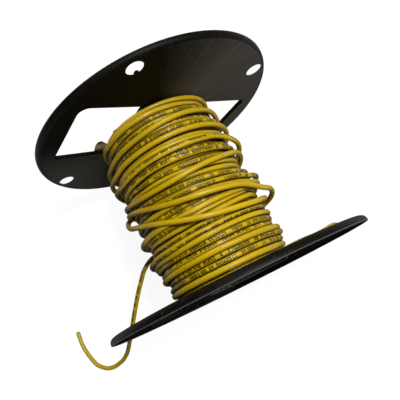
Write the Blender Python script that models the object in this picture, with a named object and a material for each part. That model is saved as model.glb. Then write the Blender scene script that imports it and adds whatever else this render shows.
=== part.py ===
"""Wire spool lying on its side.

Two pressed steel flanges are clinched on a kraft fibre core by a flared steel
tube. The core still holds the last layers of yellow building wire, with loose
turns crossing over them and the free end lying on the floor.
Metres, +Z up. The spool's axis runs along X and both rims rest on Z = 0.
"""
import math

import bmesh
import bpy
import numpy
from mathutils import Matrix, Vector

MM = 0.001

# Fits
FIT_GAP = 0.3 * MM               # left between pieces that touch
FLOOR_GAP = 0.05 * MM            # under the wire that lies on the floor

# Flanges: one stamping, used twice
FLANGE_RADIUS = 82.5 * MM
INSIDE_WIDTH = 113.6 * MM        # between the flanges' inner faces
SHEET = 0.8 * MM                 # steel sheet
LIP_HEIGHT = 4.1 * MM            # the rim's free edge, out from the inner face
RIM_BEND = 3.0 * MM              # outer radius of the curled rim
FLANGE_FACETS = 72               # a multiple of 4, so that the lowest facet lies flat

# Windows: two in each flange, with edges turned outward
WINDOW_TURN = math.radians(43.5)
WINDOW_LAP = 2.3 * MM            # inner edge, in from the core's outside
WINDOW_LAND = 15.7 * MM          # outer edge, in from the rim
WINDOW_HALF_WIDTH = 24.6 * MM
WINDOW_BIG_CORNER = 6.0 * MM
WINDOW_CORNER = 2.4 * MM
WINDOW_WALL = 2.8 * MM           # how far its edges turn out, from the inner face

# Round holes near the rim
HOLE_RADIUS = 5.25 * MM
HOLE_SIDES = 20
HOLE_LAND = 8.4 * MM             # a hole's centre, in from the rim
HOLE_TURN = math.radians(49.8)   # each side of a window's centre line
HOLE_TAB_WIDTH = 3.0 * MM        # a tab left standing in one of them
HOLE_TAB_LENGTH = 2.5 * MM

# Steel arbor tube, flared over the flanges
ARBOR_BORE = 26.0 * MM
ARBOR_WALL = 1.0 * MM
ARBOR_FLARE_RADIUS = 18.0 * MM
ARBOR_FACETS = 40

# Kraft fibre core with a torn flap
CORE_RADIUS = 30.0 * MM
CORE_WALL = 3.0 * MM
CORE_FACETS = 48
FLAP_THICKNESS = 0.9 * MM
FLAP_ROOT_TURN = math.radians(37.0)
FLAP_ROOT_WIDTH = 5.5 * MM
FLAP_OUTLINE = (                 # (along Y, up) from the root, of the folded part
    (1.0 * MM, 1.5 * MM),
    (-1.0 * MM, -2.7 * MM),
    (-2.0 * MM, -9.7 * MM),
    (-6.5 * MM, -17.7 * MM),
    (-13.5 * MM, -18.2 * MM),
    (-21.5 * MM, -12.7 * MM),
    (-17.5 * MM, -6.7 * MM),
    (-14.0 * MM, -3.9 * MM),
    (-12.3 * MM, -5.5 * MM),
    (-11.8 * MM, -9.9 * MM),
    (-9.9 * MM, -14.2 * MM),
)

# Wire
WIRE_DIAMETER = 3.3 * MM
CONDUCTOR_DIAMETER = 2.05 * MM
CONDUCTOR_STUB = 1.0 * MM        # copper showing at the cut end
LOOP_POINTS = 24                 # points to a turn
FREE_SPACING = 2.3 * WIRE_DIAMETER   # between points where the wire isn't wound

# Outer layer: wire centre over the core, at places from the far flange
LAYER_SWELL = (
    (0.0 * MM, 4.7 * MM),
    (12.0 * MM, 5.9 * MM),
    (30.0 * MM, 7.0 * MM),
    (45.0 * MM, 6.4 * MM),
    (54.0 * MM, 4.9 * MM),
    (66.0 * MM, 5.4 * MM),
    (90.0 * MM, 5.4 * MM),
    (113.6 * MM, 5.2 * MM),
)
LAYER_TURNS = 21.75
LAYER_FAR_END = 3.6 * MM         # wire centre to the far flange's inner face
LAYER_NEAR_END = 6.4 * MM        # wire centre to the near flange's inner face
LAYER_LAST_TURN = math.radians(-250.0)

# Loose turns over it: the place along the core on the left, the top and the right
LOOSE_TURNS = (
    (16.5 * MM, 17.3 * MM, 16.0 * MM),
    (23.8 * MM, 26.7 * MM, 27.0 * MM),
    (32.5 * MM, 35.2 * MM, 36.0 * MM),
    (45.5 * MM, 52.3 * MM, 49.0 * MM),
    (51.5 * MM, 65.2 * MM, 69.0 * MM),
    (60.0 * MM, 78.0 * MM, 83.0 * MM),
)
LOOSE_SIDE = math.radians(70.0)      # left and right of the top
LOOSE_GAP = 0.5 * MM                 # clear of the layer below
LOOSE_CLIMB_END = math.radians(-175.0)
LOOSE_CLIMB_SHIFT = 1.2 * MM
LOOSE_BULGES = (                     # turn, angle from the top, half width, height
    (0, math.radians(80.0), math.radians(70.0), 1.5 * MM),
    (1, math.radians(-80.0), math.radians(70.0), 2.5 * MM),
    (2, math.radians(75.0), math.radians(60.0), 2.5 * MM),
    (3, math.radians(-80.0), math.radians(60.0), 3.0 * MM),
    (5, math.radians(75.0), math.radians(60.0), 5.0 * MM),
)
TAIL_EXIT_TURN = math.radians(178.0)
TAIL_EXIT_PLACE = 69.0 * MM

# Slack turn on the near flange: (angle from the top, out from the core, clear of the face)
SLACK_CLEAR = 0.3 * MM
SLACK_ROUTE = (
    (math.radians(168.3), 9.3 * MM, 2.2 * MM),
    (math.radians(150.1), 20.2 * MM, 0.3 * MM),
    (math.radians(136.8), 37.2 * MM, 0.3 * MM),
    (math.radians(124.9), 46.8 * MM, 0.3 * MM),
    (math.radians(112.6), 48.0 * MM, 0.6 * MM),
    (math.radians(100.9), 43.8 * MM, 1.6 * MM),
    (math.radians(92.6), 36.1 * MM, 2.4 * MM),
    (math.radians(94.1), 26.6 * MM, 0.8 * MM),
    (math.radians(85.3), 18.7 * MM, 0.3 * MM),
    (math.radians(75.8), 12.8 * MM, 0.3 * MM),
    (math.radians(64.4), 8.2 * MM, 0.3 * MM),
)
SLACK_HUG_START = math.radians(52.0)     # from here it hugs the pack, over the top
SLACK_HUG_END = math.radians(-128.0)
SLACK_HUG_STEPS = 12
SLACK_END_TURN = math.radians(-145.0)

# Free end: points chosen along its route, down to the floor, then over it to the cut
TAIL_DROP = (
    Vector((12.0, -14.0, 43.1)) * MM,
    Vector((12.6, -31.0, 43.7)) * MM,
    Vector((15.7, -46.7, 44.6)) * MM,
    Vector((20.6, -55.0, 44.8)) * MM,
    Vector((26.1, -60.2, 44.0)) * MM,
    Vector((31.6, -65.2, 42.6)) * MM,
    Vector((37.1, -70.1, 40.2)) * MM,
    Vector((42.6, -75.1, 36.6)) * MM,
    Vector((48.2, -80.5, 31.5)) * MM,
    Vector((53.8, -86.4, 24.8)) * MM,
    Vector((59.6, -92.9, 16.8)) * MM,
    Vector((65.6, -99.7, 8.8)) * MM,
    Vector((68.3, -103.9, 4.8)) * MM,
    Vector((70.6, -108.6, 2.4)) * MM,
)
TAIL_ON_FLOOR = (
    Vector((72.0, -115.2)) * MM,
    Vector((71.7, -120.1)) * MM,
    Vector((69.9, -124.3)) * MM,
    Vector((65.3, -129.2)) * MM,
    Vector((60.4, -131.5)) * MM,
    Vector((55.5, -133.1)) * MM,
    Vector((50.7, -134.2)) * MM,
    Vector((46.1, -134.9)) * MM,
    Vector((41.8, -135.0)) * MM,
    Vector((37.6, -134.8)) * MM,
    Vector((34.8, -134.7)) * MM,
)

# Derived places
WINDOW_INNER = CORE_RADIUS - WINDOW_LAP      # window edges to the axis
WINDOW_OUTER = FLANGE_RADIUS - WINDOW_LAND
HOLE_CIRCLE = FLANGE_RADIUS - HOLE_LAND
HALF_WIDTH = INSIDE_WIDTH / 2
AXIS_HEIGHT = FLANGE_RADIUS * math.cos(math.pi / FLANGE_FACETS)
AXIS = Vector((0.0, 0.0, AXIS_HEIGHT))
ARBOR_RADIUS = ARBOR_BORE / 2 + ARBOR_WALL
WIRE_RADIUS = WIRE_DIAMETER / 2
LOOP_DIP = math.cos(math.pi / LOOP_POINTS)   # a loop's chords lie this much closer in

# How finely curves are read
ROUTE_PARTS = 16                 # between two points of a route
GAP_PARTS = 4                    # between two points of a tube, to measure its gaps


# ---------------------------------------------------------------- tools

def clear_scene():
    for item in list(bpy.data.objects):
        bpy.data.objects.remove(item, do_unlink=True)


def make_material(name, colour, roughness, metallic):
    material = bpy.data.materials.new(name)
    material.use_nodes = True
    shader = material.node_tree.nodes["Principled BSDF"]
    shader.inputs["Base Color"].default_value = (*colour, 1.0)
    shader.inputs["Roughness"].default_value = roughness
    shader.inputs["Metallic"].default_value = metallic
    return material


def add_object(name, bm, material=None):
    mesh = bpy.data.meshes.new(name)
    bm.to_mesh(mesh)
    bm.free()
    item = bpy.data.objects.new(name, mesh)
    bpy.context.scene.collection.objects.link(item)
    if material:
        mesh.materials.append(material)
    return item


def turned(name, profile, facets, material):
    """Closed outline of (radius, height) points, spun about local Z."""
    bm = bmesh.new()
    start = math.pi / facets
    corners = [
        bm.verts.new((radius * math.cos(start), radius * math.sin(start), height))
        for radius, height in profile
    ]
    edges = [bm.edges.new((a, b)) for a, b in zip(corners, corners[1:] + corners[:1])]
    bmesh.ops.spin(
        bm, geom=corners + edges, cent=(0, 0, 0), axis=(0, 0, 1),
        angle=2 * math.pi, steps=facets, use_merge=True,
    )
    bmesh.ops.recalc_face_normals(bm, faces=bm.faces)
    item = add_object(name, bm, material)
    item.data.shade_smooth()
    item.data.set_sharp_from_angle(angle=math.radians(40))
    return item


def prism(name, outline, low, high, material=None):
    """Outline of 2-D points, extruded along local Z."""
    bm = bmesh.new()
    face = bm.faces.new([bm.verts.new((x, y, low)) for x, y in outline])
    bmesh.ops.recalc_face_normals(bm, faces=[face])
    made = bmesh.ops.extrude_face_region(bm, geom=[face])["geom"]
    top = [item for item in made if isinstance(item, bmesh.types.BMVert)]
    bmesh.ops.translate(bm, vec=(0, 0, high - low), verts=top)
    bmesh.ops.recalc_face_normals(bm, faces=bm.faces)
    return add_object(name, bm, material)


def shape_with(item, tool, operation):
    """Union or cut with a guide solid, which is then hidden."""
    tool.hide_render = True
    tool.display_type = "WIRE"
    modifier = item.modifiers.new(tool.name, "BOOLEAN")
    modifier.operation = operation
    modifier.solver = "EXACT"
    modifier.object = tool


def put(item, place, parts=()):
    for piece in (item, *parts):
        piece.matrix_world = place


def on_axis(x, facing):
    """Frame on the spool's axis with local Z along +X (facing 1) or -X (facing -1)."""
    columns = (Vector((0, facing, 0)), Vector((0, 0, 1)), Vector((facing, 0, 0)))
    turn = Matrix(columns).transposed().to_4x4()
    return Matrix.Translation(AXIS + Vector((x, 0, 0))) @ turn


def arc(centre_x, centre_y, radius, start, end, steps):
    return [
        (centre_x + radius * math.cos(start + (end - start) * step / steps),
         centre_y + radius * math.sin(start + (end - start) * step / steps))
        for step in range(steps + 1)
    ]


def smooth_through(knots, values, place):
    """Cosine blend between named places, which never overshoots them."""
    if place <= knots[0]:
        return values[0]
    for low, high, first, second in zip(knots, knots[1:], values, values[1:]):
        if place <= high:
            share = (place - low) / (high - low)
            return first + (second - first) * (1 - math.cos(math.pi * share)) / 2
    return values[-1]


def smooth_route(points, spacing):
    """Even steps along a Catmull-Rom curve through the points."""
    padded = [2 * points[0] - points[1], *points, 2 * points[-1] - points[-2]]
    fine = []
    for before, first, second, after in zip(padded, padded[1:], padded[2:], padded[3:]):
        for step in range(ROUTE_PARTS):
            t = step / ROUTE_PARTS
            fine.append(0.5 * (
                2 * first + (second - before) * t
                + (2 * before - 5 * first + 4 * second - after) * t ** 2
                + (3 * first - before - 3 * second + after) * t ** 3
            ))
    fine.append(points[-1].copy())
    lengths = [0.0]
    for one, other in zip(fine, fine[1:]):
        lengths.append(lengths[-1] + (other - one).length)
    count = max(2, round(lengths[-1] / spacing))
    route = []
    for index in range(count + 1):
        target = lengths[-1] * index / count
        after = next((i for i, length in enumerate(lengths) if length >= target), len(fine) - 1)
        after = max(1, after)
        share = (target - lengths[after - 1]) / (lengths[after] - lengths[after - 1])
        route.append(fine[after - 1].lerp(fine[after], share))
    return route, lengths[-1]


def tube(name, points, diameter, resolution, material):
    curve = bpy.data.curves.new(name, "CURVE")
    curve.dimensions = "3D"
    curve.bevel_depth = diameter / 2
    curve.bevel_resolution = resolution
    curve.use_fill_caps = True
    spline = curve.splines.new("POLY")
    spline.points.add(len(points) - 1)
    for slot, point in zip(spline.points, points):
        slot.co = (*point, 1.0)
    curve.materials.append(material)
    item = bpy.data.objects.new(name, curve)
    bpy.context.scene.collection.objects.link(item)
    return item


def least_gap(points, diameter):
    """Smallest space between stretches of a tube that aren't neighbours along it."""
    line = numpy.array([
        one.lerp(other, step / GAP_PARTS)
        for one, other in zip(points, points[1:]) for step in range(GAP_PARTS)
    ])
    apart = numpy.linalg.norm(line[:, None, :] - line[None, :, :], axis=2)
    index = numpy.arange(len(line))
    third_of_turn = GAP_PARTS * LOOP_POINTS // 3
    far_along = numpy.abs(index[:, None] - index[None, :]) > third_of_turn
    return float(apart[far_along].min()) - diameter


# ---------------------------------------------------------------- flanges

def flange_profile():
    bend = RIM_BEND
    outer_arc = arc(FLANGE_RADIUS - bend, bend, bend, -math.pi / 2, 0.0, 3)
    inner_arc = arc(FLANGE_RADIUS - bend, bend, bend - SHEET, 0.0, -math.pi / 2, 2)
    hole = ARBOR_RADIUS + FIT_GAP
    return [
        (hole, 0.0),
        *outer_arc,
        (FLANGE_RADIUS, LIP_HEIGHT),
        (FLANGE_RADIUS - SHEET, LIP_HEIGHT),
        *inner_arc,
        (hole, SHEET),
    ]


def window_outline(turn, margin):
    """Rounded rectangle, grown by a margin, with one large outer corner."""
    low = WINDOW_INNER - margin
    high = WINDOW_OUTER + margin
    half = WINDOW_HALF_WIDTH + margin
    big = WINDOW_BIG_CORNER + margin
    small = WINDOW_CORNER + margin
    quarter = math.pi / 2
    corners = (
        arc(high - small, -half + small, small, -quarter, 0.0, 3)
        + arc(high - big, half - big, big, 0.0, quarter, 4)
        + arc(low + small, half - small, small, quarter, 2 * quarter, 3)
        + arc(low + small, -half + small, small, 2 * quarter, 3 * quarter, 3)
    )
    return turn_points(corners, turn)


def turn_points(points, turn):
    c = math.cos(turn)
    s = math.sin(turn)
    return [(x * c - y * s, x * s + y * c) for x, y in points]


def hole_outline(turn, with_tab):
    side = 2 * math.pi / HOLE_SIDES
    points = arc(HOLE_CIRCLE, 0.0, HOLE_RADIUS, 0.0, 2 * math.pi - side, HOLE_SIDES - 1)
    if with_tab:
        half = HOLE_TAB_WIDTH / 2
        tip = HOLE_CIRCLE - HOLE_RADIUS + HOLE_TAB_LENGTH
        root = HOLE_CIRCLE - math.sqrt(HOLE_RADIUS ** 2 - half ** 2)
        kept = [(x, y) for x, y in points
                if x > HOLE_CIRCLE or abs(y) > half + FIT_GAP]
        upper = [point for point in kept if point[1] >= 0]
        lower = [point for point in kept if point[1] < 0]
        tab = [(root, half), (tip - half / 2, half), (tip, half / 2),
               (tip, -half / 2), (tip - half / 2, -half), (root, -half)]
        points = upper + tab + lower
    return turn_points(points, turn)


def make_flange(name, x, facing, window_turn, material):
    flange = turned(name, flange_profile(), FLANGE_FACETS, material)
    guides = []
    for half_turn in (0.0, math.pi):
        turn = window_turn + half_turn
        wall = prism(name + "_window_wall", window_outline(turn, SHEET), SHEET / 2, WINDOW_WALL)
        shape_with(flange, wall, "UNION")
        guides.append(wall)
    for half_turn in (0.0, math.pi):
        turn = window_turn + half_turn
        cut = prism(name + "_window", window_outline(turn, 0.0), -WINDOW_WALL, 2 * WINDOW_WALL)
        shape_with(flange, cut, "DIFFERENCE")
        guides.append(cut)
        for side in (1, -1):
            with_tab = half_turn == 0.0 and side == 1
            outline = hole_outline(turn + side * HOLE_TURN, with_tab)
            cut = prism(name + "_hole", outline, -SHEET, 2 * SHEET)
            shape_with(flange, cut, "DIFFERENCE")
            guides.append(cut)
    put(flange, on_axis(x, facing), guides)
    return flange


# ---------------------------------------------------------------- hub

def make_arbor_tube(material):
    inner = ARBOR_BORE / 2
    seat = HALF_WIDTH + SHEET + FIT_GAP
    end = seat + ARBOR_WALL
    profile = [
        (inner, -end), (inner, end), (ARBOR_FLARE_RADIUS, end), (ARBOR_FLARE_RADIUS, seat),
        (ARBOR_RADIUS, seat), (ARBOR_RADIUS, -seat), (ARBOR_FLARE_RADIUS, -seat),
        (ARBOR_FLARE_RADIUS, -end),
    ]
    tube_piece = turned("arbor_tube", profile, ARBOR_FACETS, material)
    put(tube_piece, on_axis(0.0, 1))
    return tube_piece


def make_core_tube(material):
    end = HALF_WIDTH - FIT_GAP
    inner = CORE_RADIUS - CORE_WALL
    profile = [(inner, -end), (inner, end), (CORE_RADIUS, end), (CORE_RADIUS, -end)]
    core = turned("core_tube", profile, CORE_FACETS, material)
    flap = make_flap()
    for piece in flap:
        shape_with(core, piece, "UNION")
    put(core, on_axis(0.0, 1), flap)
    return core


def make_flap():
    """Torn strip of the core's wall, out through a window and folded over its edge."""
    fold_out = -HALF_WIDTH - WINDOW_WALL - FIT_GAP
    fold_far = fold_out - FLAP_THICKNESS
    middle = CORE_RADIUS - CORE_WALL / 2 + FLAP_THICKNESS
    half = FLAP_ROOT_WIDTH / 2
    thick = FLAP_THICKNESS / 2
    turn = math.pi - FLAP_ROOT_TURN
    section = [(middle - thick, -half), (middle + thick, -half),
               (middle + thick, half), (middle - thick, half)]
    strip = prism(
        "flap_strip", turn_points(section, turn),
        (fold_out + fold_far) / 2, -HALF_WIDTH + CORE_WALL,
    )
    root_y, root_up = middle * math.cos(turn), middle * math.sin(turn)
    outline = [(root_y + y, root_up + up) for y, up in FLAP_OUTLINE]
    folded = prism("flap_folded", outline, fold_far, fold_out)
    return strip, folded


# ---------------------------------------------------------------- wire

def layer_radius(place):
    return CORE_RADIUS + float(numpy.interp(place, *zip(*LAYER_SWELL)))


def round_axis(place, radius, angle):
    """Point at a place along the core; the angle runs from the top towards +Y."""
    x = place - HALF_WIDTH
    return AXIS + Vector((x, radius * math.sin(angle), radius * math.cos(angle)))


def straight_end(point, direction, sign):
    """A straight run, one diameter long, that stops half a fit gap short of the point."""
    near = point + direction * sign * FIT_GAP / 2
    away = point + direction * sign * (FIT_GAP / 2 + WIRE_DIAMETER)
    return near, away


def make_inner_layers(material):
    low = 2 * FIT_GAP
    high = INSIDE_WIDTH - 2 * FIT_GAP
    places = [low, *(place for place, _ in LAYER_SWELL if low < place < high), high]
    hole = CORE_RADIUS + FIT_GAP
    skin = [
        (layer_radius(place) * LOOP_DIP - WIRE_RADIUS - FIT_GAP, place - HALF_WIDTH)
        for place in places
    ]
    profile = [(hole, low - HALF_WIDTH), *skin, (hole, high - HALF_WIDTH)]
    layers = turned("inner_layers", profile, CORE_FACETS, material)
    put(layers, on_axis(0.0, 1))
    return layers


def layer_place(angle):
    first = LAYER_LAST_TURN - LAYER_TURNS * 2 * math.pi
    share = (angle - first) / (LAYER_LAST_TURN - first)
    near = INSIDE_WIDTH - LAYER_NEAR_END
    return near + (LAYER_FAR_END - near) * share


def layer_point(angle):
    place = layer_place(angle)
    return round_axis(place, layer_radius(place), angle)


def direction_at(curve, angle):
    step = math.radians(0.5)
    return (curve(angle + step) - curve(angle - step)).normalized()


def loose_knots():
    """Angles and places that the loose wire passes, from the layer's end to the tail."""
    knots = [(LAYER_LAST_TURN, LAYER_FAR_END),
             (LOOSE_CLIMB_END, LAYER_FAR_END + LOOSE_CLIMB_SHIFT)]
    for number, (left, top, right) in enumerate(LOOSE_TURNS):
        centre = number * 2 * math.pi
        knots += [(centre - LOOSE_SIDE, left), (centre, top), (centre + LOOSE_SIDE, right)]
    last = (len(LOOSE_TURNS) - 1) * 2 * math.pi
    knots.append((last + TAIL_EXIT_TURN, TAIL_EXIT_PLACE))
    return knots


def loose_lift(angle):
    full = (WIRE_DIAMETER + LOOSE_GAP) / LOOP_DIP
    share = (angle - LAYER_LAST_TURN) / (LOOSE_CLIMB_END - LAYER_LAST_TURN)
    share = min(max(share, 0.0), 1.0)
    lift = full * (1 - math.cos(math.pi * share)) / 2
    for turn, middle, half, height in LOOSE_BULGES:
        away = abs(angle - turn * 2 * math.pi - middle) / half
        if away < 1.0:
            lift += height * (1 + math.cos(math.pi * away)) / 2
    return lift


def loose_point(angle):
    place = smooth_through(*zip(*loose_knots()), angle)
    return round_axis(place, layer_radius(place) + loose_lift(angle), angle)


def wound_points(curve, start, end):
    """Points of a wound wire, with a straight run at each end, where it meets another."""
    count = round((end - start) / (2 * math.pi) * LOOP_POINTS)
    inner = [curve(start + (end - start) * index / count) for index in range(1, count)]
    near_start, away_start = straight_end(curve(start), direction_at(curve, start), 1)
    near_end, away_end = straight_end(curve(end), direction_at(curve, end), -1)
    return [near_start, away_start, *inner, away_end, near_end]


def make_outer_winding(material):
    first = LAYER_LAST_TURN - LAYER_TURNS * 2 * math.pi
    points = wound_points(layer_point, first, LAYER_LAST_TURN)
    print("outer_winding least gap to itself, mm:",
          round(least_gap(points, WIRE_DIAMETER) / MM, 2))
    return tube("outer_winding", points, WIRE_DIAMETER, 1, material)


def tail_exit():
    """Point and direction where the loose wire leaves the pack as the free end."""
    last = (len(LOOSE_TURNS) - 1) * 2 * math.pi + TAIL_EXIT_TURN
    point = loose_point(last)
    return point, direction_at(loose_point, last)


def make_loose_turns(material):
    last = (len(LOOSE_TURNS) - 1) * 2 * math.pi + TAIL_EXIT_TURN
    points = wound_points(loose_point, LAYER_LAST_TURN, last)
    # The layer's end and this start share one straight line
    heading = direction_at(layer_point, LAYER_LAST_TURN)
    points[0:2] = straight_end(layer_point(LAYER_LAST_TURN), heading, 1)
    print("loose_turns least gap to itself, mm:",
          round(least_gap(points, WIRE_DIAMETER) / MM, 2))
    return tube("loose_turns", points, WIRE_DIAMETER, 1, material)


def make_slack_turn(material):
    """One turn that has slipped off the pack and lies on the near flange."""
    first = LAYER_LAST_TURN - LAYER_TURNS * 2 * math.pi
    start = layer_point(first)
    heading = direction_at(layer_point, first)
    near, away = straight_end(start, heading, -1)
    face = HALF_WIDTH - WIRE_RADIUS
    middle = [
        round_axis(HALF_WIDTH + face - clear, CORE_RADIUS + out, angle)
        for angle, out, clear in SLACK_ROUTE
    ]
    place = HALF_WIDTH + face - SLACK_CLEAR
    seat = layer_radius(place) * LOOP_DIP - WIRE_RADIUS
    swept = SLACK_HUG_END - SLACK_HUG_START
    hug = [
        round_axis(place, layer_radius(place), SLACK_HUG_START + swept * step / SLACK_HUG_STEPS)
        for step in range(SLACK_HUG_STEPS + 1)
    ]
    above = round_axis(place, seat + WIRE_DIAMETER, SLACK_END_TURN)
    end = round_axis(place, seat, SLACK_END_TURN)
    route, length = smooth_route([away, *middle, *hug, above], FREE_SPACING)
    points = [near, *route, end]
    print("slack_turn length, mm:", round(length / MM, 1))
    return tube("slack_turn", points, WIRE_DIAMETER, 1, material)


def make_tail(jacket, copper):
    point, heading = tail_exit()
    near, away = straight_end(point, heading, 1)
    on_floor = [Vector((x, y, WIRE_RADIUS + FLOOR_GAP)) for x, y in TAIL_ON_FLOOR]
    route, length = smooth_route([away, *TAIL_DROP, *on_floor], FREE_SPACING)
    print("wire_tail length, mm:", round((length + WIRE_DIAMETER) / MM, 1))
    print("wire_tail exit, mm:", [round(value / MM, 2) for value in near])
    tail = tube("wire_tail", [near, *route], WIRE_DIAMETER, 2, jacket)
    end = route[-1]
    along = (route[-1] - route[-2]).normalized()
    stub = tube(
        "tail_conductor",
        [end + along * FIT_GAP, end + along * (FIT_GAP + CONDUCTOR_STUB)],
        CONDUCTOR_DIAMETER, 2, copper,
    )
    return tail, stub


# ---------------------------------------------------------------- assembly

def main():
    clear_scene()
    black = make_material("flange_black", (0.035, 0.032, 0.028), 0.35, 0.3)
    steel = make_material("arbor_steel", (0.55, 0.55, 0.53), 0.35, 1.0)
    kraft = make_material("core_kraft", (0.42, 0.31, 0.16), 0.9, 0.0)
    yellow = make_material("wire_jacket", (0.62, 0.48, 0.02), 0.28, 0.0)
    copper = make_material("conductor_copper", (0.72, 0.32, 0.16), 0.3, 1.0)
    make_flange("far_flange", -HALF_WIDTH, -1, WINDOW_TURN, black)
    make_flange("near_flange", HALF_WIDTH, 1, WINDOW_TURN, black)
    make_arbor_tube(steel)
    make_core_tube(kraft)
    make_inner_layers(yellow)
    make_outer_winding(yellow)
    make_loose_turns(yellow)
    make_slack_turn(yellow)
    make_tail(yellow, copper)


main()
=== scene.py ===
"""Looks of a wire spool that lies on its side, with its free end on the floor.

Every place is in metres, in the frame's own axes: the spool's axis runs along X,
the rims rest on Z = 0. Places along the core are measured from the far flange's
inner face; angles round the spool run from the top towards +Y.
"""

from math import ceil, cos, pi, radians, sin, sqrt

import bmesh
import bpy
import numpy as np
from mathutils import Matrix, Vector
from mathutils.geometry import delaunay_2d_cdt


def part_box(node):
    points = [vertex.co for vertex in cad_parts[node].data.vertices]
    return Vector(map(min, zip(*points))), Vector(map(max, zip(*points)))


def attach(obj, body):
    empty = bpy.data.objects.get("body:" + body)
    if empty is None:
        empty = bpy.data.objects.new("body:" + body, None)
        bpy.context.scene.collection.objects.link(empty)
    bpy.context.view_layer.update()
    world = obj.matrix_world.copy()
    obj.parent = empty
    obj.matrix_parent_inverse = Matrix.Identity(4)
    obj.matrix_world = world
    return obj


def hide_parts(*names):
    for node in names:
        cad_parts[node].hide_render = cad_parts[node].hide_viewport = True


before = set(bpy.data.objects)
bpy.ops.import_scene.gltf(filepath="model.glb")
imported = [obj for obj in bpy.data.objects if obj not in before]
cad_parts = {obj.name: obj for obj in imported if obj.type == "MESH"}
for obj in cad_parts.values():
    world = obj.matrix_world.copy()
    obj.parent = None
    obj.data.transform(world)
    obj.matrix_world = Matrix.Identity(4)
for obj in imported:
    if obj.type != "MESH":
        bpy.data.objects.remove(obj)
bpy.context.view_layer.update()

MM = 0.001
FIT_GAP = 0.3 * MM

# The frame's own sizes
far_low, far_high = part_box("far_flange")
AXIS = Vector((0.0, 0.0, (far_low.z + far_high.z) / 2))
FLANGE_RADIUS = 82.5 * MM
LIP_HEIGHT = far_high.x - far_low.x
HALF_WIDTH = -far_low.x - LIP_HEIGHT
INSIDE_WIDTH = 2 * HALF_WIDTH

# Flange stamping
SHEET = 0.8 * MM
RIM_BEND = 3.0 * MM
WINDOW_TURN = radians(43.5)
WINDOW_INNER = 24.0 * MM
WINDOW_OUTER = 66.8 * MM
WINDOW_HALF_WIDTH = 24.6 * MM
WINDOW_TAPER = 1.4 * MM
WINDOW_BIG_CORNER = 6.0 * MM
WINDOW_CORNER = 2.4 * MM
WINDOW_WALL = 2.8 * MM
WINDOW_BEND = 1.7 * MM
HOLE_RADIUS = 5.25 * MM
HOLE_CIRCLE = 74.1 * MM
HOLE_TURN = radians(49.8)
HOLE_EDGE = 0.15 * MM
HOLE_TAB_WIDTH = 3.0 * MM
HOLE_TAB_LENGTH = 2.5 * MM
HOLE_TAB_ROOT = HOLE_TAB_WIDTH / 2 * 1.15      # half the gap in the ring that it fills

# Hub
ARBOR_BORE_RADIUS = 13.0 * MM
ARBOR_WALL = 1.0 * MM
ARBOR_FLARE_RADIUS = 18.0 * MM
CORE_RADIUS = 30.0 * MM
CORE_WALL = 3.0 * MM
HUB_SEGMENTS = 128

# Wire
WIRE_DIAMETER = 3.3 * MM
WIRE_RADIUS = WIRE_DIAMETER / 2
CONDUCTOR_RADIUS = 1.025 * MM
WIRE_SIDES = 16


# ---- node helpers

class Nodes:
    """The nodes of a material or of the world, with short ways to add to them."""

    def __init__(self, owner):
        self.owner = owner
        owner.use_nodes = True
        self.tree = owner.node_tree
        self.main = self.tree.nodes.get("Principled BSDF")

    def link(self, source, target):
        if hasattr(source, "is_output"):
            self.tree.links.new(source, target)
        else:
            target.default_value = source

    def node(self, kind, inputs=(), **settings):
        """A new node; its inputs are given in order, or by number or name."""
        made = self.tree.nodes.new(kind)
        for key, value in settings.items():
            setattr(made, key, value)
        for key, value in inputs.items() if isinstance(inputs, dict) else enumerate(inputs):
            self.link(value, made.inputs[key])
        return made

    def math(self, operation, *values):
        return self.node("ShaderNodeMath", values, operation=operation).outputs[0]

    def plus(self, *values):
        return self.math("ADD", *values)

    def minus(self, *values):
        return self.math("SUBTRACT", *values)

    def times(self, *values):
        return self.math("MULTIPLY", *values)

    def between(self, value, low, high):
        """1 between two numbers, else 0."""
        return self.times(self.math("GREATER_THAN", value, low),
                          self.math("LESS_THAN", value, high))

    def length(self, x, y):
        return self.math("SQRT", self.plus(self.times(x, x), self.times(y, y)))

    def vector(self, *parts):
        return self.node("ShaderNodeCombineXYZ", parts).outputs[0]

    def split(self, vector):
        return self.node("ShaderNodeSeparateXYZ", (vector,)).outputs

    def place(self):
        return self.node("ShaderNodeTexCoord").outputs["Object"]

    def noise(self, vector, scale, detail=3.0, roughness=0.5):
        inputs = {"Vector": vector, "Scale": scale, "Detail": detail, "Roughness": roughness}
        return self.node("ShaderNodeTexNoise", inputs).outputs["Fac"]

    def random(self, x, y):
        made = self.node("ShaderNodeTexWhiteNoise", noise_dimensions="2D")
        self.link(self.vector(x, y), made.inputs["Vector"])
        return made.outputs["Value"]

    def ramp(self, value, *stops):
        made = self.node("ShaderNodeValToRGB", {"Fac": value})
        points = made.color_ramp.elements
        while len(points) < len(stops):
            points.new(0.5)
        for point, (position, colour) in zip(points, stops):
            point.position = position
            point.color = (*colour, 1.0)
        return made.outputs["Color"]

    def span(self, value, low, high, out_low=0.0, out_high=1.0):
        values = (value, low, high, out_low, out_high)
        return self.node("ShaderNodeMapRange", values, clamp=True).outputs["Result"]

    def mix(self, share, first, second):
        first, second = (colour if hasattr(colour, "is_output") else (*colour, 1.0)
                         for colour in (first, second))
        inputs = {"Factor": share, 6: first, 7: second}
        return self.node("ShaderNodeMix", inputs, data_type="RGBA").outputs[2]

    def bump(self, height, distance, strength):
        inputs = {"Height": height, "Distance": distance, "Strength": strength}
        return self.node("ShaderNodeBump", inputs).outputs["Normal"]

    def set(self, **inputs):
        for key, value in inputs.items():
            self.link(value, self.main.inputs[key.replace("_", " ")])
        return self.owner


def material_nodes(name):
    return Nodes(bpy.data.materials.new(name))


# ---- materials

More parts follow.
